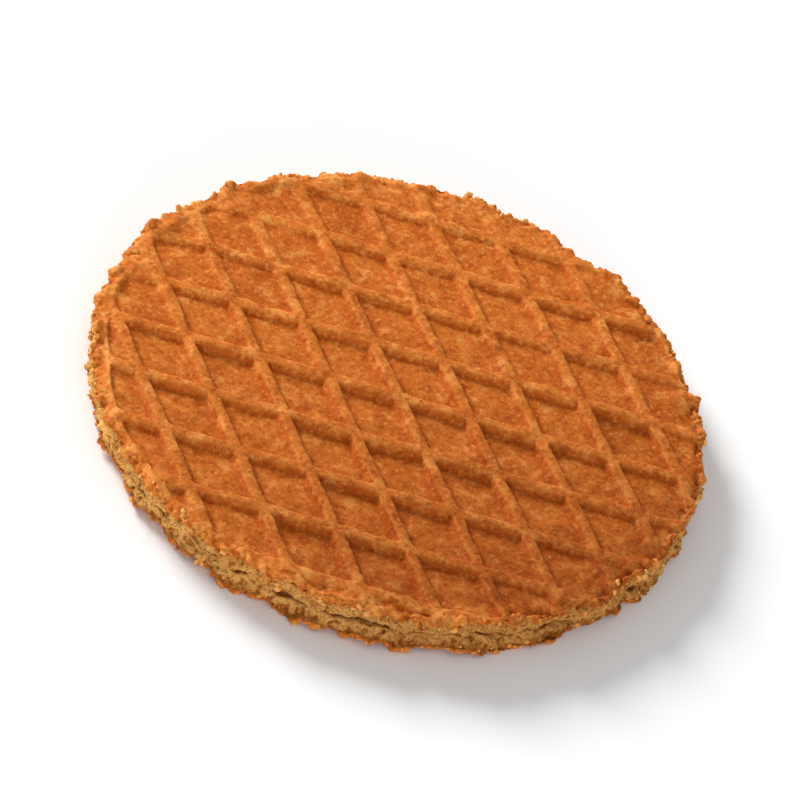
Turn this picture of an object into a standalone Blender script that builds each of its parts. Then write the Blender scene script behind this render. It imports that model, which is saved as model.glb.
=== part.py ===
"""Stroopwafel: two round wafers with a diamond waffle pattern, and caramel syrup between them.

Everything is in metres with +Z up. The origin is under the middle of the food, on the plane
where the ridges of the lower wafer stand. +X runs along the long diagonals of the cells.

The iron that bakes a wafer leaves a lattice of ridges in two families of parallel lines.
Here the iron is a cutter: one tapered diamond stud for each cell, pressed into a plain disc.
"""

import math

import bmesh
import bpy
from mathutils import Matrix, Vector, noise

# Layers, from the table up.
WAFER_RADIUS = 0.0495
WAFER_THICKNESS = 0.0029
CARAMEL_RADIUS = 0.0474
CARAMEL_THICKNESS = 0.0009
LAYER_GAP = 0.0003
# The upper wafer has slid towards -X on the caramel, and rises towards +X.
SLIDE = 0.0006
LEAN = 0.0004

# Waffle pattern. Each family of ridges has the distance from line to line and the way across
# its lines, as an angle from +X. A wafer adds how far its middle lines lie from its middle.
RIDGE_PITCH_A = 0.0107
RIDGE_PITCH_B = 0.0100
ACROSS_A = math.radians(120)
ACROSS_B = math.radians(60)
UPPER_OFFSET = (-0.0024, -0.0012)
LOWER_OFFSET = (0.0, 0.0)
CREST_WIDTH = 0.0018
RIDGE_SLOPE = 0.0007
CELL_DEPTH = 0.0010
STUD_ABOVE = 0.0004
# The pattern ends in a plain rim, which is narrower on the side of this shift.
PATTERN_RADIUS = 0.0470
PATTERN_SHIFT = Vector((0.0010, 0.0004))
LEAST_CELL_INSIDE = 0.0012
# The batter filled the iron less well on one side, so the cells there are shallower.
FAINT_SIDE = Vector((math.cos(math.radians(160)), math.sin(math.radians(160))))
FAINT_FROM = 0.012
FAINT_FULL = 0.046
FAINT_SHARE = 0.45

# Rims. Each row of a rim is how far in it lies, and its height as a share of the thickness.
WAFER_SEGMENTS = 120
WAFER_ROWS = ((0.0002, 0.0), (0.0004, 0.30), (0.0, 0.62), (0.0001, 0.88), (0.0006, 1.0))
CARAMEL_SEGMENTS = 96
CARAMEL_ROWS = ((0.0005, 0.0), (0.0, 0.35), (0.0, 0.65), (0.0005, 1.0))
# How ragged a rim is: a slow wave and small chips, each as its size and its rate round the rim.
WAFER_RAGGED = {"wave": 0.0006, "waves": 1.6, "chip": 0.0009, "chips": 10.0}
CARAMEL_RAGGED = {"wave": 0.0022, "waves": 3.0, "chip": 0.0006, "chips": 8.0}
CHIPS_APART = 50.0
LOWER_SEED = 3.0
CARAMEL_SEED = 7.0
UPPER_SEED = 11.0

SHARP_ANGLE = math.radians(25)


def clear_scene():
    """Removes every object that is there at the start."""
    for obj in list(bpy.data.objects):
        bpy.data.objects.remove(obj)


def new_collection(name):
    """A collection linked to the scene."""
    collection = bpy.data.collections.new(name)
    bpy.context.scene.collection.children.link(collection)
    return collection


def move_to(obj, collection):
    """Links the object to this collection alone."""
    for other in list(obj.users_collection):
        other.objects.unlink(obj)
    collection.objects.link(obj)


def new_material(name, color, roughness):
    """A Principled material of one colour."""
    material = bpy.data.materials.new(name)
    material.use_nodes = True
    shader = material.node_tree.nodes["Principled BSDF"]
    shader.inputs["Base Color"].default_value = (*color, 1.0)
    shader.inputs["Roughness"].default_value = roughness
    shader.inputs["Metallic"].default_value = 0.0
    return material


def smoothstep(low, high, value):
    """0 below low, 1 above high, and a smooth change between them."""
    t = min(max((value - low) / (high - low), 0.0), 1.0)
    return t * t * (3 - 2 * t)


def rise(x):
    """How much higher the upper layers sit at x, from none at -X to LEAN at +X."""
    return LEAN * (0.5 + 0.5 * x / WAFER_RADIUS)


def off_round(angle, ragged, seed):
    """How far a ragged outline departs from its circle at this angle."""
    way = Vector((math.cos(angle), math.sin(angle), 0.0))
    wave = noise.noise(way * ragged["waves"] + Vector((0.0, 0.0, seed)))
    chip = noise.noise(way * ragged["chips"] + Vector((0.0, 0.0, seed + CHIPS_APART)))
    return ragged["wave"] * wave + ragged["chip"] * chip


def make_disc(name, radius, thickness, rows, segments, ragged, seed):
    """A flat disc with a shaped and ragged rim, its underside at z = 0."""
    bpy.ops.mesh.primitive_cylinder_add(
        vertices=segments, radius=radius, depth=thickness, end_fill_type="NGON"
    )
    disc = bpy.context.object
    disc.name = name
    bm = bmesh.new()
    bm.from_mesh(disc.data)
    upright = [e for e in bm.edges if e.verts[0].co.z * e.verts[1].co.z < 0]
    bmesh.ops.subdivide_edges(bm, edges=upright, cuts=len(rows) - 2, use_grid_fill=True)
    for vert in bm.verts:
        share = vert.co.z / thickness + 0.5
        inset, height = rows[round(share * (len(rows) - 1))]
        angle = math.atan2(vert.co.y, vert.co.x)
        out = radius - inset + off_round(angle, ragged, seed)
        vert.co = Vector((out * math.cos(angle), out * math.sin(angle), height * thickness))
    bm.to_mesh(disc.data)
    bm.free()
    return disc


def lattice_point(across_a, across_b):
    """The point that lies this far across each family of ridges from the wafer's middle."""
    turn = math.sin(ACROSS_A - ACROSS_B)
    x = (across_b * math.sin(ACROSS_A) - across_a * math.sin(ACROSS_B)) / turn
    y = (across_a * math.cos(ACROSS_B) - across_b * math.cos(ACROSS_A)) / turn
    return Vector((x, y))


def cell_depth(middle):
    """How deep the iron pressed the cell with this middle."""
    faint = smoothstep(FAINT_FROM, FAINT_FULL, middle.dot(FAINT_SIDE))
    return CELL_DEPTH * (1 - FAINT_SHARE * faint)


def add_stud(bm, across_a, across_b):
    """One stud of the iron: a cube tapered and sheared into the shape of a diamond cell."""
    depth = cell_depth(lattice_point(across_a, across_b))
    half_a = (RIDGE_PITCH_A - CREST_WIDTH) / 2
    half_b = (RIDGE_PITCH_B - CREST_WIDTH) / 2
    flare = RIDGE_SLOPE * STUD_ABOVE / depth
    for vert in bmesh.ops.create_cube(bm, size=2)["verts"]:
        grow = flare if vert.co.z > 0 else -RIDGE_SLOPE
        a = across_a + vert.co.x * (half_a + grow)
        b = across_b + vert.co.y * (half_b + grow)
        z = WAFER_THICKNESS + (STUD_ABOVE if vert.co.z > 0 else -depth)
        vert.co = lattice_point(a, b).to_3d() + Vector((0, 0, z))


def make_studs(name, offset):
    """The iron's studs, one for each cell that lies well inside the patterned zone."""
    bm = bmesh.new()
    count = math.ceil(WAFER_RADIUS / min(RIDGE_PITCH_A, RIDGE_PITCH_B)) + 2
    for i in range(-count, count):
        for j in range(-count, count):
            across_a = offset[0] + (i + 0.5) * RIDGE_PITCH_A
            across_b = offset[1] + (j + 0.5) * RIDGE_PITCH_B
            out = (lattice_point(across_a, across_b) - PATTERN_SHIFT).length
            if out < PATTERN_RADIUS - LEAST_CELL_INSIDE:
                add_stud(bm, across_a, across_b)
    bmesh.ops.recalc_face_normals(bm, faces=bm.faces)
    mesh = bpy.data.meshes.new(name)
    bm.to_mesh(mesh)
    bm.free()
    return bpy.data.objects.new(name, mesh)


def make_zone(name):
    """The round zone that the pattern fills, as a tall cylinder through the wafer."""
    bpy.ops.mesh.primitive_cylinder_add(
        vertices=WAFER_SEGMENTS, radius=PATTERN_RADIUS, depth=4 * WAFER_THICKNESS
    )
    zone = bpy.context.object
    zone.name = name
    zone.data.transform(Matrix.Translation((*PATTERN_SHIFT, WAFER_THICKNESS)))
    return zone


def make_wafer(name, offset, seed, material, parts, cutters):
    """A wafer that lies on its cut face with the pattern on top, and its two cutters."""
    wafer = make_disc(
        name, WAFER_RADIUS, WAFER_THICKNESS, WAFER_ROWS, WAFER_SEGMENTS, WAFER_RAGGED, seed
    )
    wafer.data.materials.append(material)
    move_to(wafer, parts)
    studs = make_studs(name + "_iron", offset)
    zone = make_zone(name + "_iron_zone")
    for helper in (studs, zone):
        move_to(helper, cutters)
        helper.hide_render = True
        helper.display_type = "WIRE"

    trim = studs.modifiers.new("patterned zone", "BOOLEAN")
    trim.operation = "INTERSECT"
    trim.object = zone
    press = wafer.modifiers.new("waffle pattern", "BOOLEAN")
    press.operation = "DIFFERENCE"
    press.object = studs
    return wafer, studs, zone


def make_caramel(material, parts):
    """The layer of caramel syrup, thicker towards +X, which stops short of the rim."""
    caramel = make_disc(
        "caramel_filling",
        CARAMEL_RADIUS,
        CARAMEL_THICKNESS,
        CARAMEL_ROWS,
        CARAMEL_SEGMENTS,
        CARAMEL_RAGGED,
        CARAMEL_SEED,
    )
    for vert in caramel.data.vertices:
        vert.co.z += rise(vert.co.x) * vert.co.z / CARAMEL_THICKNESS
    caramel.location.z = WAFER_THICKNESS + LAYER_GAP
    caramel.data.materials.append(material)
    move_to(caramel, parts)
    return caramel


def place_lower(objects):
    """Turns the lower wafer over, so that its pattern is underneath and its cut face on top."""
    for obj in objects:
        obj.rotation_euler.x = math.pi
        obj.location = (SLIDE / 2, 0, WAFER_THICKNESS)


def place_upper(objects):
    """Lays the upper wafer on the caramel, slid towards -X and rising towards +X."""
    for obj in objects:
        for vert in obj.data.vertices:
            vert.co.z += rise(vert.co.x - SLIDE / 2)
        obj.location = (-SLIDE / 2, 0, WAFER_THICKNESS + CARAMEL_THICKNESS + 2 * LAYER_GAP)


def centre_on_origin(parts, objects):
    """Moves everything sideways together, so that the origin is under the middle of the food."""
    bpy.context.view_layer.update()
    corners = [part.matrix_world @ Vector(corner) for part in parts for corner in part.bound_box]
    for axis in (0, 1):
        low = min(corner[axis] for corner in corners)
        high = max(corner[axis] for corner in corners)
        for obj in objects:
            obj.location[axis] -= (low + high) / 2


def shade(parts):
    """Smooth shading on the rims, with the edges of ridges and faces kept sharp."""
    for part in parts:
        part.data.shade_smooth()
        part.data.set_sharp_from_angle(angle=SHARP_ANGLE)


def main():
    """Builds the lower wafer, the caramel and the upper wafer, and lays them together."""
    clear_scene()
    parts = new_collection("stroopwafel")
    cutters = new_collection("cutters")
    baked = new_material("baked_wafer", (0.62, 0.25, 0.07), 0.62)
    syrup = new_material("caramel_syrup", (0.22, 0.07, 0.012), 0.25)

    lower = make_wafer("wafer_lower", LOWER_OFFSET, LOWER_SEED, baked, parts, cutters)
    upper = make_wafer("wafer_upper", UPPER_OFFSET, UPPER_SEED, baked, parts, cutters)
    caramel = make_caramel(syrup, parts)
    place_lower(lower)
    place_upper(upper)
    layers = (lower[0], caramel, upper[0])
    centre_on_origin(layers, (*lower, *upper, caramel))
    shade(layers)


main()
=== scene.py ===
"""Looks of the stroopwafel: two baked wafers, the caramel syrup between them and loose crumbs.

Everything is in metres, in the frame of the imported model: +Z is up, the origin is under the
middle of the biscuit, and +X runs along the long diagonals of the diamond cells.
"""

import logging
import math
import random
from collections.abc import Callable, Sequence
from dataclasses import dataclass, field
from enum import Enum

import bmesh
import bpy
import numpy as np
from mathutils import Euler, Matrix, Vector


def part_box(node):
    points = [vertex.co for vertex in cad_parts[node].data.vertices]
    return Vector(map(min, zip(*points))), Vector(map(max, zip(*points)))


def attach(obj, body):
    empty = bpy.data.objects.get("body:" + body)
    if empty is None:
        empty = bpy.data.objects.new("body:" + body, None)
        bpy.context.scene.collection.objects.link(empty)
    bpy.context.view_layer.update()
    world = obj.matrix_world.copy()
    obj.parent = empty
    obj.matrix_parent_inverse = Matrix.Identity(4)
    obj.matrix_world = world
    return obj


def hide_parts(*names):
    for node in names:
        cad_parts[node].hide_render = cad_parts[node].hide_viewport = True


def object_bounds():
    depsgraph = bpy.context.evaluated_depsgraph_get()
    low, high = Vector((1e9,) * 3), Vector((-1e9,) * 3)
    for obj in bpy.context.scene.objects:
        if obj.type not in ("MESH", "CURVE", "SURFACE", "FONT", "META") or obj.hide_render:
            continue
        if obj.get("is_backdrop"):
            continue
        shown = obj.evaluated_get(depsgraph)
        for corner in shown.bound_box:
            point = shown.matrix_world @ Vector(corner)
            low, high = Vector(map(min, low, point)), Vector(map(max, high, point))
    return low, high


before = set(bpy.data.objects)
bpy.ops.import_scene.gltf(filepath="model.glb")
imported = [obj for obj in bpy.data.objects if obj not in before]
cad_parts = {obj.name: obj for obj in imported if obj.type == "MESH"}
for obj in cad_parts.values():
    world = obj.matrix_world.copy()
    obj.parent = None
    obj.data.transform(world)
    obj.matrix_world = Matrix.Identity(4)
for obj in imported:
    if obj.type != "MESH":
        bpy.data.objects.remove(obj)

log = logging.getLogger("stroopwafel")

MM = 0.001
BODY = "root"
PIECE_TRIANGLES = 190_000

Color = tuple[float, float, float]
Operand = "Wire | float"


# --- Shader arithmetic ---------------------------------------------------------------------


class Wire:
    """A number that flows through a material, with the arithmetic of ordinary numbers."""

    def __init__(self, graph: "Graph", socket: bpy.types.NodeSocket) -> None:
        """Wraps one output socket.

        Args:
            graph: The graph that new nodes are added to.
            socket: The output socket that carries the number.
        """
        self.graph = graph
        self.socket = socket

    def math(self, operation: str, *values: Operand, clamp: bool = False) -> "Wire":
        """Adds a Math node that starts with this number.

        Args:
            operation: The Math node's operation.
            values: The further operands.
            clamp: Whether the result is kept from 0 to 1.

        Returns:
            The node's result.
        """
        settings = {"operation": operation, "use_clamp": clamp}
        inputs = dict(enumerate([self, *values]))
        return Wire(self.graph, self.graph.node("ShaderNodeMath", settings, inputs).outputs[0])

    def __add__(self, other: Operand) -> "Wire":
        """This number plus another."""
        return self.math("ADD", other)

    __radd__ = __add__

    def __sub__(self, other: Operand) -> "Wire":
        """This number less another."""
        return self.math("SUBTRACT", other)

    def __rsub__(self, other: float) -> "Wire":
        """A plain number less this one."""
        return self.math("MULTIPLY_ADD", -1.0, other)

    def __mul__(self, other: Operand) -> "Wire":
        """This number times another."""
        return self.math("MULTIPLY", other)

    __rmul__ = __mul__

    def __truediv__(self, other: Operand) -> "Wire":
        """This number divided by another."""
        return self.math("DIVIDE", other)

    def __neg__(self) -> "Wire":
        """This number with its sign turned."""
        return self.math("MULTIPLY", -1.0)

    def __pow__(self, other: Operand) -> "Wire":
        """This number to a power."""
        return self.math("POWER", other)

    def step(self, low: float, high: float) -> "Wire":
        """A smooth change from 0 to 1 as this number goes from low to high.

        Args:
            low: Where the change starts. It may be above high, for a fall from 1 to 0.
            high: Where the change ends.

        Returns:
            The eased number.
        """
        falls = low > high
        node = self.graph.node(
            "ShaderNodeMapRange",
            {"interpolation_type": "SMOOTHSTEP"},
            {"Value": self, "From Min": min(low, high), "From Max": max(low, high)},
        )
        eased = Wire(self.graph, node.outputs["Result"])
        return 1.0 - eased if falls else eased


@dataclass
class Graph:
    """The node tree of one material while it is being wired.

    Attributes:
        material: The material that the tree belongs to.
    """

    material: bpy.types.Material

    @classmethod
    def named(cls, name: str) -> "Graph":
        """Starts a material with a Principled shader.

        Args:
            name: The material's name.

        Returns:
            The graph of the new material.
        """
        material = bpy.data.materials.new(name)
        material.use_nodes = True
        return cls(material)

    @property
    def shader(self) -> bpy.types.Node:
        """The material's Principled shader."""
        return self.material.node_tree.nodes["Principled BSDF"]

    def node(self, kind: str, settings: dict, inputs: dict) -> bpy.types.Node:
        """Adds a node of any kind.

        Args:
            kind: The node's type.
            settings: Its properties, which are set before its sockets are used.
            inputs: A value, a Wire or an output socket for each input, by name or number.

        Returns:
            The new node.
        """
        node = self.material.node_tree.nodes.new(kind)
        for name, value in settings.items():
            setattr(node, name, value)
        for key, value in inputs.items():
            self.feed(node.inputs[key], value)
        return node

    def feed(self, socket: bpy.types.NodeSocket, value: object) -> None:
        """Links a wire into a socket, or sets a plain value there.

        Args:
            socket: The input socket.
            value: A Wire, an output socket, a number, a colour or a vector.
        """
        if isinstance(value, Wire):
            value = value.socket
        if isinstance(value, bpy.types.NodeSocket):
            self.material.node_tree.links.new(value, socket)
        elif socket.type == "RGBA":
            socket.default_value = (*value, 1.0)
        else:
            socket.default_value = value

    def place(self, middle: Vector) -> bpy.types.NodeSocket:
        """Object coordinates in millimetres.

        Args:
            middle: The point, in metres, where they are zero.

        Returns:
            The vector socket.
        """
        raw = self.node("ShaderNodeTexCoord", {}, {}).outputs["Object"]
        moved = self.node("ShaderNodeVectorMath", {"operation": "SUBTRACT"}, {0: raw, 1: middle})
        scaled = {"operation": "SCALE"}
        return self.node(
            "ShaderNodeVectorMath", scaled, {0: moved.outputs[0], "Scale": 1 / MM}
        ).outputs[0]

    def parts(self, vector: bpy.types.NodeSocket) -> tuple[Wire, Wire, Wire]:
        """The three numbers of a vector."""
        node = self.node("ShaderNodeSeparateXYZ", {}, {0: vector})
        return tuple(Wire(self, out) for out in node.outputs)

    def attribute(self, name: str) -> Wire:
        """The number that the mesh stores on each vertex under this name."""
        node = self.node("ShaderNodeAttribute", {"attribute_name": name}, {})
        return Wire(self, node.outputs["Fac"])

    def noise(
        self, at: bpy.types.NodeSocket, size: float, detail: float = 2.0, rough: float = 0.5
    ) -> Wire:
        """Soft noise around 0.5.

        Args:
            at: Where it is read, in millimetres.
            size: The size of its largest lumps, in millimetres.
            detail: How many finer octaves it has.
            rough: How strong those octaves are.

        Returns:
            The noise.
        """
        inputs = {"Vector": at, "Scale": 1 / size, "Detail": detail, "Roughness": rough}
        node = self.node("ShaderNodeTexNoise", {"noise_dimensions": "3D"}, inputs)
        return Wire(self, node.outputs[0])

    def cells(self, at: bpy.types.NodeSocket, size: float, feature: str = "F1") -> Wire:
        """Distance within a pattern of irregular cells, as a share of a cell.

        Args:
            at: Where it is read, in millimetres.
            size: The size of a cell, in millimetres.
            feature: Which distance is read.

        Returns:
            The distance.
        """
        settings = {"feature": feature}
        node = self.node("ShaderNodeTexVoronoi", settings, {"Vector": at, "Scale": 1 / size})
        return Wire(self, node.outputs["Distance"])

    def blend(self, share: Operand, low: object, high: object, mode: str = "MIX") -> object:
        """Mixes two colours.

        Args:
            share: How much of the second colour there is, from 0 to 1.
            low: The first colour, plain or wired.
            high: The second colour, plain or wired.
            mode: How they are mixed.

        Returns:
            The socket of the mixed colour.
        """
        settings = {"data_type": "RGBA", "blend_type": mode, "clamp_factor": True}
        node = self.node("ShaderNodeMix", settings, {0: share, 6: low, 7: high})
        return node.outputs[2]

    def relief(self, height: Wire, depth: float, under: object = None) -> object:
        """A bump of a height field.

        Args:
            height: The height, from 0 to 1.
            depth: What a height of 1 measures, in millimetres.
            under: The normal that it is added to.

        Returns:
            The socket of the bent normal.
        """
        inputs = {"Height": height, "Distance": depth * MM, "Strength": 1.0}
        if under is not None:
            inputs["Normal"] = under
        return self.node("ShaderNodeBump", {}, inputs).outputs["Normal"]


# --- Modelling -------------------------------------------------------------------------------


class Bench:
    """Edit mode work on one object: geometry is picked by a test, and then operators act on it."""

    def __init__(self, obj: bpy.types.Object) -> None:
        """Takes the object that is worked on."""
        self.obj = obj

    def __enter__(self) -> "Bench":
        """Selects the object alone and enters edit mode."""
        select_only(self.obj)
        bpy.ops.object.mode_set(mode="EDIT")
        return self

    def __exit__(self, *problem: object) -> None:
        """Returns to object mode."""
        bpy.ops.object.mode_set(mode="OBJECT")

    def _pick(self, mode: str, items: str, wanted: Callable[[object], bool]) -> int:
        """Selects the elements of one kind that pass a test, and returns how many did."""
        bpy.ops.mesh.select_mode(type=mode)
        bpy.ops.mesh.select_all(action="DESELECT")
        mesh = bmesh.from_edit_mesh(self.obj.data)
        found = [item for item in getattr(mesh, items) if wanted(item)]
        for item in found:
            item.select_set(True)
        mesh.select_flush_mode()
        bmesh.update_edit_mesh(self.obj.data)
        return len(found)

    def faces(self, wanted: Callable[[bmesh.types.BMFace], bool]) -> int:
        """Selects the faces that pass a test, and returns how many did."""
        return self._pick("FACE", "faces", wanted)

    def edges(self, wanted: Callable[[bmesh.types.BMEdge], bool]) -> int:
        """Selects the edges that pass a test, and returns how many did."""
        return self._pick("EDGE", "edges", wanted)

    def picked_faces(self) -> list[int]:
        """The numbers of the faces that are selected now."""
        mesh = bmesh.from_edit_mesh(self.obj.data)
        return [face.index for face in mesh.faces if face.select]


def select_only(obj: bpy.types.Object) -> None:
    """Makes this the one selected object, and the active one."""
    bpy.ops.object.select_all(action="DESELECT")
    obj.select_set(True)
    bpy.context.view_layer.objects.active = obj


def new_piece(name: str) -> bpy.types.Object:
    """Names the object that an operator has just added, with its place put into its mesh."""
    piece = bpy.context.object
    piece.name = name
    piece.data.name = name
    bpy.ops.object.transform_apply(location=True, rotation=True, scale=True)
    return piece


def finish_with(obj: bpy.types.Object, kind: str, **settings: object) -> None:
    """Adds a modifier with these settings and applies it."""
    select_only(obj)
    modifier = obj.modifiers.new(kind.lower(), kind)
    for name, value in settings.items():
        setattr(modifier, name, value)
    bpy.ops.object.modifier_apply(modifier=modifier.name)


def points_of(obj: bpy.types.Object) -> np.ndarray:
    """The places of a mesh's vertices, one row each."""
    flat = np.empty(len(obj.data.vertices) * 3, np.float32)
    obj.data.vertices.foreach_get("co", flat)
    return flat.reshape(-1, 3)


def put_points(obj: bpy.types.Object, points: np.ndarray) -> None:
    """Moves a mesh's vertices to these places."""
    obj.data.vertices.foreach_set("co", points.astype(np.float32).ravel())
    obj.data.update()


def ease(low: float, high: float, values: np.ndarray) -> np.ndarray:
    """A smooth change from 0 at low to 1 at high, for each value."""
    share = np.clip((values - low) / (high - low), 0.0, 1.0)
    return share * share * (3 - 2 * share)


def weigh(obj: bpy.types.Object, name: str, weights: np.ndarray, levels: int = 24) -> None:
    """Stores a weight from 0 to 1 on each vertex, in steps, as a vertex group.

    Args:
        obj: The mesh object.
        name: The group's name.
        weights: One weight for each vertex.
        levels: How many steps the weights are rounded to.
    """
    group = obj.vertex_groups.new(name=name)
    steps = np.rint(weights * levels).astype(int)
    for level in range(1, levels + 1):
        group.add(np.flatnonzero(steps == level).tolist(), level / levels, "REPLACE")


def store(obj: bpy.types.Object, name: str, values: np.ndarray) -> None:
    """Stores a number on each vertex, for the finish to read."""
    layer = obj.data.attributes.new(name, "FLOAT", "POINT")
    layer.data.foreach_set("value", values.astype(np.float32))


def upness(obj: bpy.types.Object) -> np.ndarray:
    """How far each vertex's normal points up, from -1 to 1."""
    flat = np.empty(len(obj.data.vertices) * 3, np.float32)
    obj.data.vertex_normals.foreach_get("vector", flat)
    return flat[2::3]


def proudness(obj: bpy.types.Object, rounds: int) -> np.ndarray:
    """How far each vertex stands out of its surroundings, in metres. In pits it is negative.

    Args:
        obj: The mesh object.
        rounds: How many times the surroundings are averaged, which sets how wide they are.

    Returns:
        One number for each vertex.
    """
    points = points_of(obj).astype(float)
    ends = np.empty(len(obj.data.edges) * 2, np.int32)
    obj.data.edges.foreach_get("vertices", ends)
    ends = ends.reshape(-1, 2)
    here, there = np.concatenate((ends, ends[:, ::-1])).T
    neighbours = np.maximum(np.bincount(here, minlength=len(points)), 1)
    around = points
    for _ in range(rounds):
        sums = [np.bincount(here, around[there, axis], len(points)) for axis in range(3)]
        around = np.stack(sums, axis=1) / neighbours[:, None]
    normals = np.empty(len(points) * 3, np.float32)
    obj.data.vertex_normals.foreach_get("vector", normals)
    return ((points - around) * normals.reshape(-1, 3)).sum(axis=1)


class Push(Enum):
    """The way in which an unevenness moves a surface."""

    OUT = "NORMAL"
    UP = "Z"
    ANY = "RGB_TO_XYZ"


class Grain(Enum):
    """The kinds of unevenness, as the noise that each is made from."""

    SOFT = "BLENDER_ORIGINAL"
    PITS = "VORONOI_F1"


@dataclass(frozen=True)
class Unevenness:
    """One scale of unevenness in a baked surface.

    Attributes:
        name: What it is called.
        grain: The kind of noise.
        size: The size of its largest lumps, in millimetres.
        reach: How far it moves the surface from its lowest to its highest, in millimetres.
        where: The vertex group that it is limited to.
        push: The way in which it moves the surface.
        level: The noise value that leaves the surface where it is.
        octaves: How many finer octaves the noise has.
        contrast: How sharply it goes from low to high.
    """

    name: str
    grain: Grain
    size: float
    reach: float
    where: str = ""
    push: Push = Push.OUT
    level: float = 0.5
    octaves: int = 1
    contrast: float = 1.0

    def shape(self, obj: bpy.types.Object) -> None:
        """Moves the object's surface."""
        texture = bpy.data.textures.new(self.name, "CLOUDS")
        texture.noise_scale = self.size * MM
        texture.noise_basis = self.grain.value
        texture.noise_depth = self.octaves
        texture.contrast = self.contrast
        texture.cloud_type = "COLOR" if self.push is Push.ANY else "GRAYSCALE"
        finish_with(
            obj,
            "DISPLACE",
            texture=texture,
            texture_coords="LOCAL",
            direction=self.push.value,
            mid_level=self.level,
            strength=self.reach * MM,
            vertex_group=self.where,
        )


# --- The wafers ------------------------------------------------------------------------------


@dataclass(frozen=True)
class Ridges:
    """A family of parallel ridges.

    Attributes:
        across: The way across its lines, in degrees from +X.
        pitch: The distance from line to line, in millimetres.
        offset: How far its middle line lies from the wafer's middle, in millimetres.
    """

    across: float
    pitch: float
    offset: float

    @property
    def way(self) -> Vector:
        """The direction across its lines."""
        return Vector((math.cos(math.radians(self.across)), math.sin(math.radians(self.across)), 0))

    def lines(self, reach: float) -> list[float]:
        """How far across each line lies, in metres, for the lines within a reach."""
        count = math.ceil(reach / (self.pitch * MM)) + 1
        found = [(self.offset + i * self.pitch) * MM for i in range(-count, count + 1)]
        return [line for line in found if abs(line) < reach]

    def phase(self, point: Vector) -> float:
        """How far a point is past the line before it, in millimetres."""
        return (point.dot(self.way) / MM - self.offset) % self.pitch


@dataclass(frozen=True)
class WafflePattern:
    """The pattern that the iron presses into a wafer. Its sizes are in millimetres.

    Attributes:
        families: The two families of ridges.
        crest: The width of a ridge's flat top.
        slope: The width of a ridge's side, seen from above.
        depth: How deep a cell is.
        uneven: How much the depth varies from cell to cell.
        zone: The radius of the patterned zone.
        brim: The radius from which the cells get shallower.
        shift: How far the zone lies from the wafer's middle.
        least: The smallest part of a cell that is pressed, in square millimetres.
        faint: The side where the cells are shallower, in degrees from +X.
        fade: The share of the depth that is lost there.
    """

    families: tuple[Ridges, Ridges]
    crest: float = 1.5
    slope: float = 0.55
    depth: float = 1.3
    uneven: float = 0.13
    zone: float = 48.2
    brim: float = 43.0
    shift: tuple[float, float] = (1.0, 0.4)
    least: float = 11.0
    faint: float = 140.0
    fade: float = 0.52

    def is_cell(self, face: bmesh.types.BMFace) -> bool:
        """Whether a face of the ruled disc is the inside of a cell, and not a ridge."""
        middle = face.calc_center_median()
        out = (middle.xy - Vector(self.shift) * MM).length
        if out > self.zone * MM or face.calc_area() < self.least * MM**2:
            return False
        half = self.crest / 2
        return all(half < f.phase(middle) < f.pitch - half for f in self.families)

    def depth_at(self, point: Vector) -> float:
        """How deep the iron pressed at a point, in metres, before the chance of each cell."""
        way = Vector((math.cos(math.radians(self.faint)), math.sin(math.radians(self.faint))))
        lost = float(ease(-20.0, 44.0, np.array(point.xy.dot(way) / MM)))
        shallow = float(ease(self.brim, self.zone, np.array(point.xy.length / MM)))
        return self.depth * (1 - self.fade * lost) * (1 - 0.5 * shallow) * MM


class Facing(Enum):
    """Which way a wafer's patterned face looks."""

    UP = 1
    DOWN = -1


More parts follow.
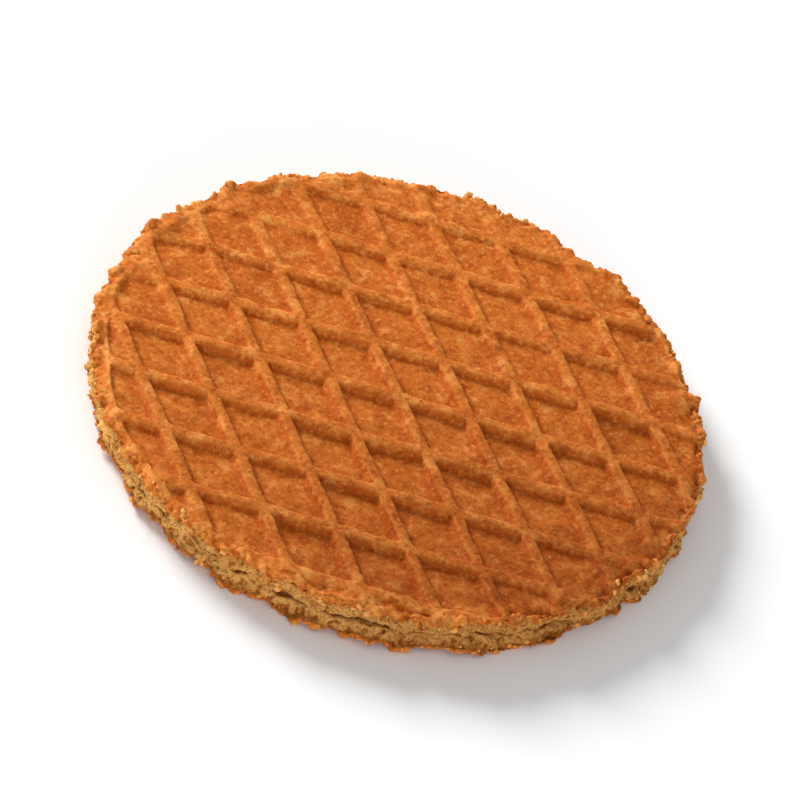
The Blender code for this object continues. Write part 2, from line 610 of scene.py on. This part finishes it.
@dataclass
class Wafer:
    """One baked half of the biscuit. It is modelled pattern up, round the origin, and then laid.

    Attributes:
        name: The piece's name.
        node: The CAD node that it stands for.
        pattern: What the iron pressed into it.
        facing: Which way the patterned face looks.
        chance: The seed of what varies by chance.
        lean: How much higher its +X side sits than its -X side, in millimetres.
        swell: How much thicker than the CAD node it is, towards the caramel, in millimetres.
        warp: How far its rim bends up and down, in millimetres.
        sag: How far crumb may hang past its cut face, in millimetres.
        shoulder: How far in from the rim its face starts to round down, in millimetres.
        rounding: How far it has rounded down at the rim, in millimetres.
        grid: The spacing of its surface points as it is roughened, in millimetres.
        softening: How many times its edges are smoothed before they are roughened.
        rim_steps: How many points its blank has round the rim.
        around: How many rounds of neighbours a point is compared with, to find pits and edges.
        wall: The rim's profile from the patterned face down: how far out, in millimetres,
            and how far down, as a share of the thickness.
    """

    name: str
    node: str
    pattern: WafflePattern
    facing: Facing
    chance: int
    lean: float = 0.0
    swell: float = 0.5
    warp: float = 0.15
    sag: float = 0.45
    shoulder: float = 2.6
    rounding: float = 0.55
    grid: float = 0.23
    softening: int = 3
    rim_steps: int = 360
    around: int = 8
    wall: tuple[tuple[float, float], ...] = (
        (0.45, 0.05),
        (0.60, 0.15),
        (0.35, 0.40),
        (0.50, 0.65),
        (0.40, 0.90),
        (0.10, 1.00),
    )
    piece: bpy.types.Object = field(init=False)

    def __post_init__(self) -> None:
        """Reads the node's place and size from the frame."""
        self.low, self.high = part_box(self.node)
        self.middle = (self.low + self.high) / 2
        self.radius = (self.high.x - self.low.x + self.high.y - self.low.y) / 4
        self.thickness = self.high.z - self.low.z + (self.swell - self.lean) * MM
        self.draw = random.Random(self.chance)
        self.bench_height = self.chance * 0.1

    def build(self) -> None:
        """Models the wafer."""
        self._rule_blank()
        self._press_cells()
        self._raise_wall()
        finish_with(self.piece, "REMESH", mode="VOXEL", voxel_size=self.grid * MM)
        finish_with(self.piece, "SMOOTH", factor=0.5, iterations=self.softening)
        self._simplify_cut_face()
        self._mark()
        self._round_rim()
        self._bake()
        self._thin_out()
        self._lay()

    def _rule_blank(self) -> None:
        """A disc with a plain rim, ruled with the two edges of each ridge."""
        bpy.ops.mesh.primitive_circle_add(
            vertices=self.rim_steps,
            radius=self.radius - 0.6 * MM,
            fill_type="NGON",
            location=(0, 0, self.bench_height),
        )
        self.piece = new_piece(self.name)
        pattern = self.pattern
        with Bench(self.piece):
            bpy.ops.mesh.select_all(action="SELECT")
            bpy.ops.mesh.inset(thickness=self.radius - (0.6 + pattern.zone) * MM)
            bpy.ops.transform.translate(value=(*(Vector(pattern.shift) * MM), 0))
            for ridges in pattern.families:
                for line in ridges.lines(self.radius):
                    for side in (-1, 1):
                        bpy.ops.mesh.select_all(action="SELECT")
                        bpy.ops.mesh.bisect(
                            plane_co=ridges.way * (line + side * pattern.crest / 2 * MM),
                            plane_no=ridges.way,
                        )

    def _press_cells(self) -> None:
        """Presses each cell down by its own depth, with sloping sides."""
        pattern = self.pattern
        with Bench(self.piece) as bench:
            bench.faces(pattern.is_cell)
            bpy.ops.mesh.inset(thickness=pattern.slope * MM, use_individual=True)
            for number in bench.picked_faces():
                bench.faces(lambda face: face.index == number)
                mesh = bmesh.from_edit_mesh(self.piece.data)
                mesh.faces.ensure_lookup_table()
                depth = pattern.depth_at(mesh.faces[number].calc_center_median())
                depth *= self.draw.gauss(1.0, pattern.uneven)
                aside = [self.draw.gauss(0.0, 0.08) * MM for _ in range(2)]
                bpy.ops.transform.translate(value=(*aside, -depth))

    def _raise_wall(self) -> None:
        """Draws the rim down into a wall, and closes it with the cut face."""
        with Bench(self.piece) as bench:
            before, above = self.radius - 0.6 * MM, 0.0
            for out, down in self.wall:
                bench.edges(lambda edge: edge.is_boundary)
                drop = {"value": (0, 0, (above - down) * self.thickness)}
                bpy.ops.mesh.extrude_edges_move(TRANSFORM_OT_translate=drop)
                ring = self.radius - 0.6 * MM + out * MM
                bpy.ops.transform.resize(value=(ring / before, ring / before, 1))
                before, above = ring, down
            bpy.ops.mesh.edge_face_add()
            bpy.ops.mesh.select_all(action="SELECT")
            bpy.ops.mesh.normals_make_consistent(inside=False)

    def _simplify_cut_face(self) -> None:
        """Makes the hidden middle of the cut face one plain face."""
        floor = self.bench_height - self.thickness + 0.4 * MM
        hidden = self.radius - 4.5 * MM
        with Bench(self.piece) as bench:
            bench.faces(
                lambda face: face.calc_center_median().z < floor
                and face.calc_center_median().xy.length < hidden
            )
            bpy.ops.mesh.delete(type="FACE")
            bench.edges(lambda edge: edge.is_boundary)
            bpy.ops.mesh.edge_face_add()

    def _mark(self) -> None:
        """Stores what the finish reads: the depth under the crests, and where crumb is bare."""
        points = points_of(self.piece)
        inward = (self.radius - np.hypot(points[:, 0], points[:, 1])) / MM
        under = (self.bench_height - points[:, 2]) / MM
        wall = ease(0.3, 0.7, 1 - upness(self.piece))
        wall *= ease(1.7, 0.9, inward) * ease(0.5, 1.2, under)
        store(self.piece, "under", under)
        store(self.piece, "bare", np.maximum(wall, ease(1.9, 2.3, under)))

    def _round_rim(self) -> None:
        """Rounds the patterned face down towards the rim."""
        points = points_of(self.piece)
        out = np.hypot(points[:, 0], points[:, 1])
        under = self.bench_height - points[:, 2]
        share = ease(self.radius - self.shoulder * MM, self.radius, out)
        share *= ease(0.6 * self.thickness, 0.0, under)
        points[:, 2] -= self.rounding * MM * share
        put_points(self.piece, points)

    def _bake(self) -> None:
        """Gives the plain form the unevenness of batter that was baked, cut and handled."""
        points = points_of(self.piece)
        out = np.hypot(points[:, 0], points[:, 1]) / MM
        under = (self.bench_height - points[:, 2]) / MM
        rim = self.radius / MM - out
        above_cut = self.thickness / MM - under
        weigh(self.piece, "wall", ease(1.8, 0.6, rim) * ease(0.1, 0.7, under) * ease(0, 0.5, above_cut))
        weigh(self.piece, "edge", ease(6.0, 0.5, rim))
        weigh(self.piece, "brink", ease(2.4, 0.4, rim))
        weigh(self.piece, "face", ease(0.8, 2.0, rim) * (under < 2.0))
        weigh(self.piece, "crest", (under < 0.25) * ease(0.8, 2.0, rim))
        for unevenness in BAKED:
            unevenness.shape(self.piece)

    def _thin_out(self) -> None:
        """Drops the points that the shape can spare."""
        self.piece.data.calc_loop_triangles()
        share = PIECE_TRIANGLES / len(self.piece.data.loop_triangles)
        if share < 1:
            finish_with(self.piece, "DECIMATE", ratio=share)
        bpy.ops.object.shade_smooth()

    def _lay(self) -> None:
        """Turns the wafer the right way up and fits it into its node's box."""
        points = points_of(self.piece).astype(float)
        points[:, 2] -= self.bench_height
        points[:, 2] = np.maximum(points[:, 2], -self.thickness - self.sag * MM)
        if self.facing is Facing.DOWN:
            points[:, 1:] *= -1
        slope = self.lean * MM / (2 * self.radius)
        points[:, 2] += slope * points[:, 0]
        share = points[:, :2] / self.radius
        points[:, 2] += self.warp * MM * share[:, 0] * share[:, 1]
        for axis in (0, 1):
            low, high = points[:, axis].min(), points[:, axis].max()
            room = self.high[axis] - self.low[axis]
            points[:, axis] = self.low[axis] + (points[:, axis] - low) * room / (high - low)
        if self.facing is Facing.UP:
            points[:, 2] += self.high.z - points[:, 2].max()
        else:
            points[:, 2] = np.maximum(points[:, 2], 0.0)
        put_points(self.piece, points)
        self.piece.vertex_groups.clear()
        store(self.piece, "proud", proudness(self.piece, self.around) / MM)

    def dress(self, **changes: object) -> None:
        """Gives the wafer its finish, and takes the CAD node's place.

        Args:
            changes: What differs from the usual finish.
        """
        dough = BakedDough(self.name + "_dough", self.middle, **changes)
        self.piece.data.materials.append(dough.material())
        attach(self.piece, BODY)
        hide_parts(self.node)


BAKED = (
    Unevenness("ridges_wander", Grain.SOFT, 6.0, 0.6, push=Push.ANY, octaves=2),
    Unevenness("rim_waves", Grain.SOFT, 7.0, 2.2, where="edge", push=Push.ANY, octaves=2),
    Unevenness("rim_bumps", Grain.SOFT, 3.0, 1.5, where="brink", push=Push.ANY, octaves=2),
    Unevenness("rim_torn", Grain.SOFT, 2.6, 1.5, where="wall", octaves=2),
    Unevenness("crumb_holes", Grain.PITS, 3.1, 0.7, where="wall", level=0.5),
    Unevenness("crumb_lumps", Grain.PITS, 1.5, -0.95, where="wall", level=0.5),
    Unevenness("crumb_grains", Grain.PITS, 0.75, -0.45, where="wall", level=0.5),
    Unevenness("crests_worn", Grain.SOFT, 2.6, 0.45, where="crest", push=Push.UP, level=0.62, octaves=2),
    Unevenness("skin", Grain.SOFT, 0.9, 0.20, where="face", octaves=2),
)


# --- Finishes --------------------------------------------------------------------------------


@dataclass(frozen=True)
class BakedDough:
    """The finish of a wafer: a browned skin over pale crumb. Colours are linear.

    The mesh stores "under", the depth under the crests in millimetres, "bare", which is 1 where
    the rim shows crumb, and "proud", how far a point stands out of its surroundings, in
    millimetres.

    Attributes:
        name: The material's name.
        middle: The middle of the wafer, in metres.
        crest: The skin on top of the ridges.
        floor: The skin on the floors of the cells.
        slope: The darker, redder colour of the ridge sides and the pits: painted shade.
        dark: The darker patches of the skin.
        pale: The pale specks, torn spots and worn edges of the skin, with a painted highlight on proud
            edges.
        crumb: The inside of the dough, where the rim shows it.
        crust: The browned layer just under the skin; in the low parts of the crumb it is also painted
            shade.
        hollow_shade: The painted shade in the pits and pores of the crumb.
        browner: The tint that darkens the wafer towards one side.
        browner_way: The direction of that side.
        reach: How far the change of tint reaches from the middle, in millimetres.
        crust_depth: How thick the browned layer under the skin is, in millimetres.
    """

    name: str
    middle: Vector
    crest: Color = (0.58, 0.152, 0.020)
    floor: Color = (0.58, 0.148, 0.018)
    slope: Color = (0.43, 0.066, 0.002)
    dark: Color = (0.32, 0.050, 0.002)
    pale: Color = (0.84, 0.35, 0.08)
    crumb: Color = (0.86, 0.46, 0.13)
    crust: Color = (0.58, 0.180, 0.022)
    hollow_shade: Color = (0.46, 0.14, 0.016)
    browner: Color = (0.57, 0.49, 0.44)
    browner_way: tuple[float, float] = (0.92, -0.38)
    reach: float = 48.0
    crust_depth: float = 1.0

    def material(self) -> bpy.types.Material:
        """Wires the finish.

        Returns:
            The material.
        """
        graph = Graph.named(self.name)
        at = graph.place(self.middle)
        under = graph.attribute("under")
        ragged = graph.noise(at, 1.2, 3.0) + graph.noise(at, 5.0, 1.0) * 0.9 - 0.95
        bare = (graph.attribute("bare") + ragged * 1.15).step(0.36, 0.60)

        proud = graph.attribute("proud")
        skin = self._skin(graph, at, under, proud)
        crumb, inside = self._crumb(graph, at, under, proud)
        x, y, _ = graph.parts(at)
        # The wafer darkens towards browner_way, less on the skin near the -Y rim.
        along_tint = (x * self.browner_way[0] + y * self.browner_way[1]) / (2 * self.reach) + 0.5
        brim = ((x * x + y * y) ** 0.5).step(42.0, 49.0) * (-y).step(10.0, 32.0)
        even: Color = (1.0, 1.0, 1.0)
        share = along_tint.math("MAXIMUM", 0.0) ** 2.0 * (1.0 - brim * (1.0 - bare) * 0.6)
        tint = graph.blend(share, even, self.browner)
        color = graph.blend(1.0, graph.blend(bare, skin, crumb), tint, "MULTIPLY")
        graph.feed(graph.shader.inputs["Base Color"], color)

        greasy = graph.noise(at, 5.0, 3.0, 0.6).step(0.52, 0.72)
        rough = 0.74 - greasy * 0.12
        graph.feed(graph.shader.inputs["Roughness"], rough + bare * (0.9 - rough))
        graph.feed(graph.shader.inputs["Coat Weight"], greasy * (1.0 - bare) * 0.04)
        graph.shader.inputs["Coat Roughness"].default_value = 0.5
        graph.shader.inputs["Specular IOR Level"].default_value = 0.06

        fine = graph.noise(at, 0.40, 2.0, 0.6)
        pinholes = graph.cells(at, 0.9).step(0.0, 0.22)
        normal = graph.relief(fine * (1.0 - bare) + pinholes * 0.5, 0.09)
        normal = graph.relief(inside * bare, 0.35, normal)
        graph.feed(graph.shader.inputs["Normal"], normal)
        return graph.material

    def _skin(self, graph: Graph, at: object, under: Wire, proud: Wire) -> object:
        """The colour of the browned skin.

        Args:
            graph: The graph that is wired.
            at: The place in millimetres.
            under: How far under the crests a point lies, in millimetres.
            proud: How far it stands out of its surroundings, in millimetres.

        Returns:
            The colour's socket.
        """
        low = under.step(0.15, 0.95)
        side = low * (1.0 - low) * 4.0
        color = graph.blend(low, self.crest, self.floor)
        # The ridge sides take the darker, redder slope colour: painted shade.
        color = graph.blend(side * 0.30, color, self.slope)
        patches = graph.noise(at, 13.0, 3.0, 0.55).step(0.50, 0.74)
        color = graph.blend(patches * 0.45, color, self.dark)
        mottle = graph.noise(at, 2.4, 3.0, 0.6)
        color = graph.blend(mottle.step(0.51, 0.69) * 0.50, color, self.pale)
        color = graph.blend(mottle.step(0.48, 0.30) * 0.58, color, self.dark)
        # Pits and the feet of the ridges take the slope colour: painted shade in recesses.
        color = graph.blend(proud.step(-0.02, -0.18) * 0.50, color, self.slope)
        # Proud edges turn paler: partly wear, partly a painted highlight along the ridge edges.
        color = graph.blend(proud.step(0.06, 0.28) * 0.20, color, self.pale)
        torn = graph.noise(at, 1.6, 3.0, 0.6).step(0.58, 0.68) * under.step(0.4, 0.1)
        handled = graph.noise(at, 16.0, 1.0).step(0.42, 0.60)
        color = graph.blend(torn * handled * 0.6, color, self.pale)
        x, y, _ = graph.parts(at)
        brim = ((x * x + y * y) ** 0.5).step(43.5, 47.5)
        rubbed = graph.noise(at, 3.2, 3.0, 0.6).step(0.50, 0.62) * brim
        color = graph.blend(rubbed * 0.55, color, self.pale)
        speck = graph.noise(at, 0.75, 2.0, 0.6)
        color = graph.blend(speck.step(0.46, 0.26) * 0.75, color, self.dark)
        return graph.blend(speck.step(0.54, 0.72) * 0.50, color, self.pale)

    def _crumb(
        self, graph: Graph, at: object, under: Wire, proud: Wire
    ) -> tuple[object, Wire]:
        """The colour and the relief of the crumb.

        Args:
            graph: The graph that is wired.
            at: The place in millimetres.
            under: How far under the crests a point lies, in millimetres.
            proud: How far it stands out of its surroundings, in millimetres.

        Returns:
            The colour's socket, and the height of the crumb from 0 to 1.
        """
        lumps = graph.noise(at, 0.7, 3.0, 0.6)
        height = proud + (lumps - 0.5) * 0.5
        deep = under + (lumps - 0.5) * 1.4
        browned = deep.step(self.crust_depth * 1.5, self.crust_depth * 0.5)
        toasted = graph.noise(at, 4.0, 2.0).step(0.48, 0.70)
        # Low parts of the crumb take the crust colour and raised parts the crumb colour: painted shade
        # in the pits.
        color = graph.blend(height.step(-0.28, 0.05), self.crust, self.crumb)
        color = graph.blend(toasted * 0.35, color, self.crust)
        color = graph.blend(browned * 0.85, color, self.crust)
        # The deepest pits and the pores darken further: painted shade.
        color = graph.blend(height.step(-0.10, -0.36) * 0.60, color, self.hollow_shade)
        pores = graph.noise(at, 0.38, 2.0, 0.6).step(0.47, 0.33)
        color = graph.blend(pores * 0.5, color, self.hollow_shade)
        return color, lumps - pores * 0.4


@dataclass(frozen=True)
class LooseCrumb:
    """The finish of the crumbs: some pale, some toasted. Colours are linear.

    Attributes:
        name: The material's name.
        pale: The colour of crumbs from the inside of the dough.
        toasted: The colour of crumbs with skin on them.
    """

    name: str
    pale: Color = (0.74, 0.35, 0.09)
    toasted: Color = (0.60, 0.20, 0.026)

    def material(self) -> bpy.types.Material:
        """Wires the finish.

        Returns:
            The material.
        """
        graph = Graph.named(self.name)
        at = graph.place(Vector((0, 0, 0)))
        kind = graph.noise(at, 1.8, 2.0).step(0.44, 0.60)
        graph.feed(graph.shader.inputs["Base Color"], graph.blend(kind, self.pale, self.toasted))
        graph.shader.inputs["Roughness"].default_value = 0.85
        graph.shader.inputs["Specular IOR Level"].default_value = 0.14
        graph.feed(graph.shader.inputs["Normal"], graph.relief(graph.noise(at, 0.3, 2.0), 0.08))
        return graph.material


@dataclass(frozen=True)
class CaramelSyrup:
    """The finish of the set syrup: dark amber and glossy. Colours are linear.

    Attributes:
        name: The material's name.
        thick: Its colour where it is thick.
        thin: Its colour where it is thin.
    """

    name: str
    thick: Color = (0.30, 0.095, 0.014)
    thin: Color = (0.52, 0.20, 0.035)

    def material(self) -> bpy.types.Material:
        """Wires the finish.

        Returns:
            The material.
        """
        graph = Graph.named(self.name)
        at = graph.place(Vector((0, 0, 0)))
        streaks = graph.noise(at, 3.0, 3.0, 0.55)
        graph.feed(
            graph.shader.inputs["Base Color"],
            graph.blend(streaks.step(0.40, 0.62), self.thick, self.thin),
        )
        graph.feed(graph.shader.inputs["Roughness"], 0.22 + graph.noise(at, 1.5) * 0.22)
        graph.shader.inputs["Specular IOR Level"].default_value = 0.3
        graph.feed(graph.shader.inputs["Normal"], graph.relief(streaks, 0.2))
        return graph.material


# --- The caramel -----------------------------------------------------------------------------


@dataclass
class Caramel:
    """The layer of syrup between the wafers.

    Attributes:
        name: The piece's name.
        node: The CAD node that it stands for.
        grip: How far it reaches into each wafer, in millimetres.
        rim_steps: How many points it has round its rim.
    """

    name: str
    node: str
    grip: float = 0.35
    rim_steps: int = 900
    piece: bpy.types.Object = field(init=False)

    def __post_init__(self) -> None:
        """Reads the node's place and size from the frame."""
        self.low, self.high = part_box(self.node)
        self.radius = (self.high.x - self.low.x + self.high.y - self.low.y) / 4

    def build(self, lean: float) -> None:
        """Models the layer.

        Args:
            lean: How much thicker it is at +X than at -X, in millimetres.
        """
        thickness = self.high.z - self.low.z - (lean - 2 * self.grip) * MM
        bpy.ops.mesh.primitive_cylinder_add(
            vertices=self.rim_steps,
            radius=self.radius,
            depth=thickness,
            end_fill_type="NGON",
            location=(0, 0, thickness / 2),
        )
        self.piece = new_piece(self.name)
        with Bench(self.piece) as bench:
            bench.edges(lambda edge: abs(edge.verts[0].co.z - edge.verts[1].co.z) > thickness / 2)
            bpy.ops.mesh.subdivide(number_cuts=7)
        points = points_of(self.piece).astype(float)
        weigh(self.piece, "brim", np.hypot(points[:, 0], points[:, 1]) > self.radius - MM)
        share = np.sin(np.pi * np.clip(points[:, 2] / thickness, 0, 1))
        weigh(self.piece, "bulge", share)
        for unevenness in FLOWED:
            unevenness.shape(self.piece)
        points = points_of(self.piece).astype(float)
        points[:, 2] = np.clip(points[:, 2], 0, thickness)
        rise = lean * MM * (0.5 + 0.5 * points[:, 0] / self.radius)
        points[:, 2] += rise * points[:, 2] / thickness + self.low.z - self.grip * MM
        put_points(self.piece, points)
        self.piece.vertex_groups.clear()
        bpy.ops.object.shade_smooth()

    def dress(self) -> None:
        """Gives the syrup its finish, and takes the CAD node's place."""
        self.piece.data.materials.append(CaramelSyrup("syrup").material())
        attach(self.piece, BODY)
        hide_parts(self.node)


FLOWED = (
    Unevenness("flow", Grain.SOFT, 11.0, 3.2, where="brim", level=0.55, octaves=2),
    Unevenness("drops", Grain.SOFT, 2.4, 1.4, where="bulge", octaves=1),
)


# --- Crumbs ----------------------------------------------------------------------------------


@dataclass
class RimCrumbs:
    """The crumbs that cling to the cut rims, joined into one piece. Sizes are in millimetres.

    Attributes:
        name: The piece's name.
        count: How many crumbs there are.
        kinds: How many different shapes they have.
        smallest: The radius of the smallest.
        largest: The radius of the largest.
        sunk: The share of a crumb's radius that is pressed into the rim.
        chance: The seed of their shapes and places.
    """

    name: str
    count: int = 300
    kinds: int = 5
    smallest: float = 0.25
    largest: float = 0.80
    sunk: float = 0.45
    chance: int = 5
    piece: bpy.types.Object = field(init=False)

    def build(self, wafers: Sequence[Wafer], low: Vector, high: Vector) -> None:
        """Models a few crumbs and lays copies of them on the rims.

        Args:
            wafers: The wafers that they cling to.
            low: The lowest corner that a crumb may reach.
            high: The highest corner.
        """
        draw = random.Random(self.chance)
        shapes = [self._shape(number, draw) for number in range(self.kinds)]
        laid = []
        while len(laid) < self.count:
            spot = self._spot(draw.choice(wafers), draw, low, high)
            if spot is not None:
                laid.append(self._copy(draw.choice(shapes), spot, draw))
        bpy.ops.object.select_all(action="DESELECT")
        for crumb in laid:
            crumb.select_set(True)
        bpy.context.view_layer.objects.active = laid[0]
        bpy.ops.object.join()
        self.piece = bpy.context.object
        self.piece.name = self.piece.data.name = self.name
        for shape in shapes:
            bpy.data.objects.remove(shape)
        bpy.ops.object.shade_smooth()

    def _shape(self, number: int, draw: random.Random) -> bpy.types.Object:
        """Models one lumpy crumb of radius 1 mm round the origin."""
        bpy.ops.mesh.primitive_ico_sphere_add(subdivisions=2, radius=MM)
        shape = new_piece(f"crumb_shape_{number}")
        with Bench(shape):
            bpy.ops.mesh.select_all(action="SELECT")
            stretch = [draw.uniform(0.65, 1.25) for _ in range(3)]
            bpy.ops.transform.resize(value=stretch)
            bpy.ops.transform.vertex_random(offset=0.36 * MM, seed=number + 1)
        points = points_of(shape)
        put_points(shape, points * (MM / np.linalg.norm(points, axis=1).max()))
        return shape

    def _spot(
        self, wafer: Wafer, draw: random.Random, low: Vector, high: Vector
    ) -> tuple[Vector, float] | None:
        """Chooses the middle and the radius of a crumb on a wafer's rim.

        Args:
            wafer: The wafer.
            draw: The source of chance.
            low: The lowest corner that the crumb may reach.
            high: The highest corner.

        Returns:
            The middle and the radius in metres, or nothing if the crumb would stick out.
        """
        turn = draw.uniform(0, math.tau)
        way = Vector((math.cos(turn), math.sin(turn), 0))
        height = draw.uniform(wafer.low.z + 0.3 * MM, wafer.high.z - 0.9 * MM)
        start = way * 1.3 * wafer.radius + Vector((0, 0, height))
        struck, place, normal, _ = wafer.piece.ray_cast(start, -way)
        radius = self.smallest + (self.largest - self.smallest) * draw.random() ** 2.2
        if not struck or normal.dot(way) < 0.2 or place.xy.length < 0.94 * wafer.radius:
            return None
        middle = place + normal * radius * (1 - 2 * self.sunk) * MM
        reach = radius * MM
        for axis in range(3):
            if not low[axis] + reach < middle[axis] < high[axis] - reach:
                return None
        return middle, radius

    def _copy(
        self, shape: bpy.types.Object, spot: tuple[Vector, float], draw: random.Random
    ) -> bpy.types.Object:
        """Lays a copy of a crumb, with its own mesh, at a spot."""
        middle, radius = spot
        copy = shape.copy()
        copy.data = shape.data.copy()
        turn = Euler([draw.uniform(0, math.tau) for _ in range(3)]).to_matrix().to_4x4()
        copy.data.transform(Matrix.Translation(middle) @ turn @ Matrix.Scale(radius, 4))
        bpy.context.scene.collection.objects.link(copy)
        return copy

    def dress(self) -> None:
        """Gives the crumbs their finish."""
        self.piece.data.materials.append(LooseCrumb("loose_crumb").material())
        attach(self.piece, BODY)


# --- Studio ----------------------------------------------------------------------------------


@dataclass(frozen=True)
class Studio:
    """A pale floor, one soft key light, even fill light and the camera.

    Attributes:
        azimuth: The camera's azimuth in degrees. 0 looks along +Y.
        elevation: The camera's height above the horizon in degrees.
        roll: How far the camera is turned about its own axis, in degrees.
        lens: Its focal length in millimetres.
        fill: The share of the picture's width that the biscuit takes.
        key_azimuth: Where the key light stands, in degrees as the camera's azimuth.
        key_elevation: How high it stands, in degrees.
        key_power: Its strength.
        key_softness: The angle that it covers, in degrees.
        card_azimuth: Where the reflecting card stands, in degrees as the camera's azimuth.
        card_elevation: How high it stands, in degrees.
        card_power: Its strength.
        card_softness: The angle that it covers, in degrees.
        sky: The strength of the even light.
        floor: The floor's colour.
    """

    azimuth: float = 26.8
    elevation: float = 43.0
    roll: float = 18.5
    lens: float = 200.0
    fill: float = 0.80
    key_azimuth: float = 256.0
    key_elevation: float = 23.0
    key_power: float = 4.7
    key_softness: float = 22.0
    card_azimuth: float = 44.0
    card_elevation: float = 6.0
    card_power: float = 2.1
    card_softness: float = 30.0
    sky: float = 0.51
    floor: Color = (0.90, 0.90, 0.90)

    @staticmethod
    def towards(azimuth: float, elevation: float) -> Vector:
        """The direction from the biscuit to something at this azimuth and elevation."""
        turn, up = math.radians(azimuth), math.radians(elevation)
        flat = math.cos(up)
        return Vector((math.sin(turn) * flat, -math.cos(turn) * flat, math.sin(up)))

    def build(self, low: Vector, high: Vector) -> None:
        """Makes the floor, the lights and the camera.

        Args:
            low: The lowest corner of the biscuit's box.
            high: Its highest corner.
        """
        self._floor()
        self._lights()
        self._camera(low, high)

    def _floor(self) -> None:
        """A wide pale floor that the biscuit lies on."""
        bpy.ops.mesh.primitive_plane_add(size=40, location=(0, 0, -0.01 * MM))
        floor = new_piece("floor")
        graph = Graph.named("pale_floor")
        graph.feed(graph.shader.inputs["Base Color"], self.floor)
        graph.shader.inputs["Roughness"].default_value = 0.9
        graph.shader.inputs["Specular IOR Level"].default_value = 0.1
        floor.data.materials.append(graph.material)
        floor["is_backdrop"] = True

    def _lights(self) -> None:
        """A soft key light from behind, a low card opposite it, and even light from all round."""
        self._sun("key", self.key_azimuth, self.key_elevation, self.key_power, self.key_softness)
        self._sun(
            "card", self.card_azimuth, self.card_elevation, self.card_power, self.card_softness
        )
        world = bpy.data.worlds.new("studio")
        bpy.context.scene.world = world
        world.use_nodes = True
        background = world.node_tree.nodes["Background"]
        background.inputs["Color"].default_value = (1, 1, 1, 1)
        background.inputs["Strength"].default_value = self.sky

    def _sun(
        self, name: str, azimuth: float, elevation: float, power: float, softness: float
    ) -> None:
        """Adds a far light.

        Args:
            name: The light's name.
            azimuth: Where it stands, in degrees as the camera's azimuth.
            elevation: How high it stands, in degrees.
            power: Its strength.
            softness: The angle that it covers, in degrees.
        """
        way = self.towards(azimuth, elevation)
        bpy.ops.object.light_add(type="SUN", location=way)
        light = bpy.context.object
        light.name = f"{name}_light"
        light.rotation_mode = "QUATERNION"
        light.rotation_quaternion = way.to_track_quat("Z", "Y")
        light.data.energy = power
        light.data.angle = math.radians(softness)

    def _camera(self, low: Vector, high: Vector) -> None:
        """A long lens that looks at the middle of the biscuit."""
        back = self.towards(self.azimuth, self.elevation)
        span = (high.x - low.x) / self.fill
        bpy.ops.object.camera_add()
        camera = bpy.context.object
        camera.name = "camera"
        camera.data.lens = self.lens
        distance = span * self.lens / camera.data.sensor_width
        camera.location = (low + high) / 2 + back * distance
        camera.data.clip_start, camera.data.clip_end = distance / 100, distance * 100
        camera.rotation_mode = "QUATERNION"
        straight = back.to_track_quat("Z", "Y").to_matrix()
        turned = straight @ Matrix.Rotation(math.radians(self.roll), 3, "Z")
        camera.rotation_quaternion = turned.to_quaternion()
        bpy.context.scene.camera = camera


# --- The whole -------------------------------------------------------------------------------

LEAN = 0.4
CREST_DIRECTIONS = (120.0, 60.0)
PITCHES = (10.7, 10.0)
# The lower wafer's darker crust: painted shade under the rim.
LOWER_CRUST_SHADE = (0.40, 0.125, 0.016)


def waffle_pattern(offsets: Sequence[float], **changes: object) -> WafflePattern:
    """The iron's pattern, with its ridges this far from the middle.

    Args:
        offsets: How far each family's middle line lies from the middle, in millimetres.
        changes: What differs from the usual pattern.

    Returns:
        The pattern.
    """
    made = (Ridges(*values) for values in zip(CREST_DIRECTIONS, PITCHES, offsets))
    return WafflePattern(families=tuple(made), **changes)


def main() -> None:
    """Builds the biscuit and the studio, and reports each piece."""
    logging.basicConfig(level=logging.INFO, format="%(message)s")
    bpy.context.scene.view_settings.view_transform = "Standard"
    solid_low, solid_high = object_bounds()
    lower = Wafer("baked_lower", "wafer_lower", waffle_pattern((0.0, 0.0)), Facing.DOWN, 1)
    upper = Wafer("baked_upper", "wafer_upper", waffle_pattern((-2.4, -1.2)), Facing.UP, 2, LEAN)
    for wafer in (lower, upper):
        wafer.build()
        log.info("%s: %d faces", wafer.name, len(wafer.piece.data.polygons))
    # The lower wafer gets a darker crust that reaches higher up its wall: painted shade under the rim.
    lower.dress(crust=LOWER_CRUST_SHADE, crust_depth=1.9)
    upper.dress()
    caramel = Caramel("syrup_layer", "caramel_filling")
    caramel.build(LEAN)
    caramel.dress()
    log.info("%s: %d faces", caramel.name, len(caramel.piece.data.polygons))
    crumbs = RimCrumbs("rim_crumbs")
    crumbs.build((lower, upper), solid_low, solid_high)
    crumbs.dress()
    log.info("%s: %d faces", crumbs.name, len(crumbs.piece.data.polygons))
    Studio().build(solid_low, solid_high)


if __name__ == "__main__":
    main()
